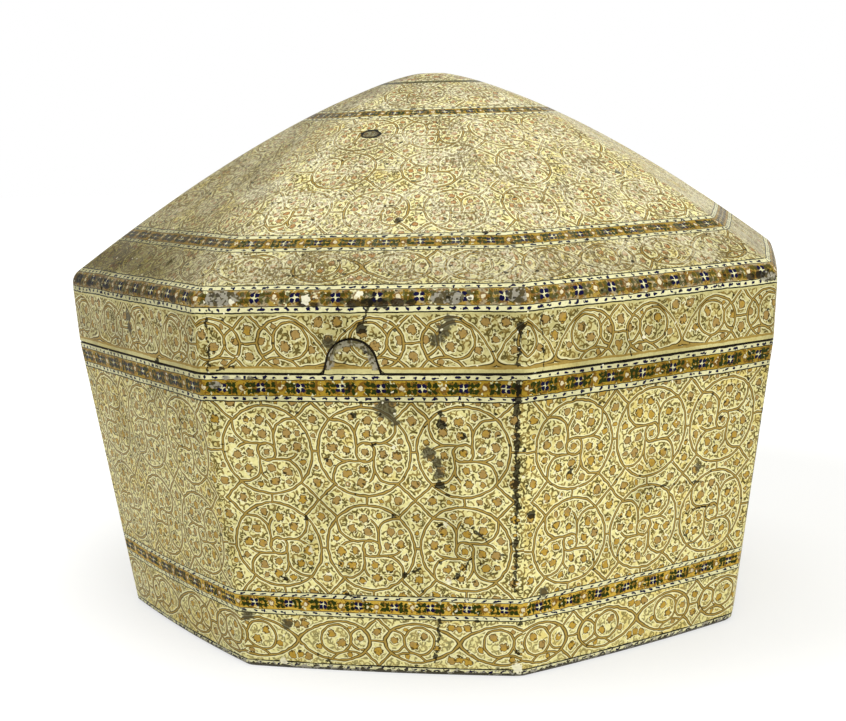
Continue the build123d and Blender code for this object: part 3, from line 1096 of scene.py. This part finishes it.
        # The roof also darkens towards the crown
        dirt_and_shade = ramp(run, 256, 268) * 0.35 + dirt_and_shade
    # The dirt and the painted shade darken the paint
    colour = mix(dirt_and_shade * 0.55, colour, GRIME_AND_SHADE, "MULTIPLY")
    (sx, sy, sz), (kind, size, other) = tree.scatter(point(drift_x, drift_run), SPECK_CELL)
    speck = length(sx, sy * 1.4) - size * size * 0.7
    fleck = length(sx, sy) - size * 0.4
    colour = coats(
        colour,
        (LOSS, speck, 0.12, -0.02, kind > (0.35 if on_roof else 0.55), 0.85),
        (PALE, fleck, 0.1, -0.02, kind < 0.1, 0.8),
    )
    colour = mix(ramp(fine[0] + fine[1], -0.3, 0.5) * 0.2, colour, GRIME_AND_SHADE, "MULTIPLY")

    gloss = greatest(ramp(cloud[0], -0.2, 0.2, 0.32, 0.46), dark * 0.75, rubbed * 0.7)
    inputs = {"Base Color": colour, "Roughness": gloss, "Specular IOR Level": SHINE}
    tree.fill(tree.nodes["Principled BSDF"], inputs)
    return material


def fibrous_material(name, light, dark, grain):
    """Pasteboard or paper, slightly uneven in tone, with a grain in millimetres."""
    material = bpy.data.materials.new(name)
    tree = Tree(material)
    place = tree.add("ShaderNodeTexCoord").outputs["Object"]
    place = tree.vector("MULTIPLY", place, (1 / MM, 1 / MM, 1 / MM))[0]
    cloud, fibre = tree.noise(place, 40.0, 3.0)[0], tree.noise(place, grain, 2.0)[0]
    colour = tree.coats(light, (dark, cloud, 0.3, 0.75, 0.5), (dark, fibre, 0.45, 0.7, 0.4))
    tree.fill(tree.nodes["Principled BSDF"], {"Base Color": colour, "Roughness": 0.85})
    return material


body_paint = painted_material("painted_body", FOOT_RUN, SEAM_Z + TONGUE_HEIGHT)
skirt_paint = painted_material("painted_skirt", SEAM_Z + SEAM_GAP, SKIRT_TOP)
roof_paint = painted_material("painted_roof", SKIRT_TOP, CROWN_RUN)
board = fibrous_material("pasteboard", BOARD, BOARD_DARK, 0.8)
lining = fibrous_material("lining_paper", LINING, LINING_DARK, 1.5)

body_wall = build_body_wall(body_paint, board, board)
lid_skirt = build_skirt(skirt_paint, board, board)
lid_roof = build_roof(roof_paint, board)
for piece, node, body in (
    (body_wall, "body_wall", "body"),
    (lid_skirt, "lid_skirt", "lid"),
    (lid_roof, "lid_roof", "lid"),
):
    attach(piece, body)
    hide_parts(node)

for name, skin in (
    ("floor_board", board),
    ("mouth_collar", board),
    ("floor_lining", lining),
    ("wall_lining", lining),
    ("roof_lining", lining),
):
    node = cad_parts[name]
    node.data.materials.clear()
    node.data.materials.append(skin)


def show_seen(tree, unseen, seen, output):
    """Puts out one shader for the rays that see the surroundings directly or in a shiny surface,
    and another for the rest."""
    rays = tree.add("ShaderNodeLightPath").outputs
    kinds = [Number(tree, rays[f"Is {kind} Ray"]) for kind in ("Camera", "Glossy", "Transmission")]
    shaders = {0: greatest(*kinds), 1: unseen, 2: seen}
    surface = tree.add("ShaderNodeMixShader", shaders).outputs[0]
    tree.fill(tree.nodes[output], {"Surface": surface})


# White table, which shows only a soft shadow round the box, as in a cut-out picture. A weak diffuse
# layer catches the box's real shadow, and the glow that the camera sees dims near a point a little
# right of and behind the box's middle: a painted shadow.
FLOOR_SIZE = 8.0
FLOOR_SHADING = (0.3, 0.3, 0.282, 1)
TABLE_WHITE = (0.9, 0.9, 0.9, 1)
GLOW_NEAR, GLOW_FAR = 0.63, 1.0
NEAR, FAR = 0.17, 0.36
PAINTED_SHADOW_CENTRE = (0.05, 0.09, 0.0)
bpy.ops.mesh.primitive_plane_add(size=FLOOR_SIZE, location=(0, 0, 0))
floor = bpy.context.object
floor.name = "floor"
white = bpy.data.materials.new("white_table")
tree = Tree(white)
matt = tree.add("ShaderNodeBsdfDiffuse", {"Color": TABLE_WHITE}).outputs[0]
shaded = tree.add("ShaderNodeBsdfDiffuse", {"Color": FLOOR_SHADING}).outputs[0]
# Painted shadow: the glow is weakest near its centre and full far from it
from_box = tree.distance(tree.add("ShaderNodeTexCoord").outputs["Object"], PAINTED_SHADOW_CENTRE)
strength = ramp(from_box, NEAR, FAR, GLOW_NEAR, GLOW_FAR)
glow = tree.add("ShaderNodeEmission", {"Strength": strength}).outputs[0]
lit = tree.add("ShaderNodeAddShader", {0: shaded, 1: glow}).outputs[0]
show_seen(tree, matt, lit, "Material Output")
floor.data.materials.append(white)

# Even light from all round, with two large soft lamps
ROOM_LIGHT = 0.7
PURE_WHITE = (1, 1, 1, 1)
world = bpy.data.worlds.new("room")
bpy.context.scene.world = world
tree = Tree(world)
dim_room = tree.fill(tree.nodes["Background"], {"Color": PURE_WHITE, "Strength": ROOM_LIGHT})
white_room = tree.add("ShaderNodeBackground", {"Color": PURE_WHITE, "Strength": 1.0})
show_seen(tree, dim_room.outputs[0], white_room.outputs[0], "World Output")


def lamp(name, place, target, size, power):
    """A square soft lamp that points at a target, in metres and watts."""
    light = bpy.data.lights.new(name, "AREA")
    light.shape = "SQUARE"
    light.size = size
    light.energy = power
    holder = bpy.data.objects.new(name, light)
    holder.location = place
    direction = Vector(target) - Vector(place)
    holder.rotation_euler = direction.to_track_quat("-Z", "Y").to_euler()
    bpy.context.scene.collection.objects.link(holder)


lamp("key", (0.7, -1.0, 0.8), (0, 0, 0.1), 0.8, 7.5)
lamp("above", (0.15, 0.1, 1.4), (0, 0, 0.15), 0.9, 8)

# Camera, as far as the photo's perspective gives it
CAMERA_PLACE = Vector((127.05, -637.4, 193.3)) * MM
CAMERA_DOWN = radians(8.676)
CAMERA_LEFT = radians(11.89)
CAMERA_ROLL = radians(-1.811)
camera = bpy.data.objects.new("camera", bpy.data.cameras.new("camera"))
camera.data.lens = 65.68
camera.data.sensor_width = 36.0
camera.location = CAMERA_PLACE
aim = Euler((pi / 2 - CAMERA_DOWN, 0, CAMERA_LEFT)).to_quaternion()
camera.rotation_mode = "QUATERNION"
camera.rotation_quaternion = aim @ Quaternion((0, 0, 1), CAMERA_ROLL)
bpy.context.scene.collection.objects.link(camera)
bpy.context.scene.camera = camera

scene = bpy.context.scene
scene.view_settings.view_transform = "Standard"
